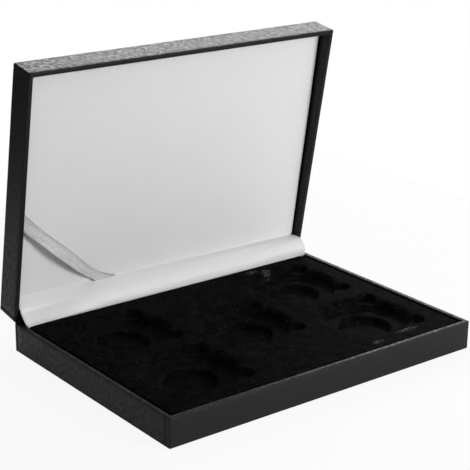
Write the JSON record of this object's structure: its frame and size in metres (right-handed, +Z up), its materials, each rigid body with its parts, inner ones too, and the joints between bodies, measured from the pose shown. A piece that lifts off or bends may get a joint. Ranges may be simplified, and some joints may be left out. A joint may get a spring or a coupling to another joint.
{
  "type": "coin display case",
  "caption": "Leatherette presentation case, standing open, with a flocked insert of round coin pockets and a satin-lined lid.",
  "frame": {"origin": "centre of the face that the base stands on", "axes": "+Z up, +X along the hinge to the right as seen from the front, +Y from the front to the hinge"},
  "size_m": [0.2, 0.158, 0.1594],
  "materials": {
    "greyboard": "pressed paper board",
    "leatherette": "fine grained, satin",
    "underside_paper": "matt",
    "flocked_sheet": "flocked, matt",
    "foam": "open cell",
    "satin": "satin weave, soft sheen",
    "ribbon": "ribbed, soft sheen"
  },
  "bodies": {
    "base": {"base_board": "greyboard", "base_wrap": "leatherette", "base_paper": "underside_paper", "coin_insert": "flocked_sheet", "hinge_strip": "satin", "spine": "leatherette"},
    "lid": {"lid_board": "greyboard", "lid_wrap": "leatherette", "lining_card": "greyboard", "lining_foam": "foam", "lining_satin": "satin", "certificate_ribbon": "ribbon"}
  },
  "joints": [
    {"name": "lid_hinge", "type": "hinge", "parent": "base", "child": "lid", "pos_m": [0, 0.07125, 0.01635], "axis": [-1, 0, 0], "range_deg": [-80, 15], "deforming": ["hinge_strip", "spine"]}
  ]
}
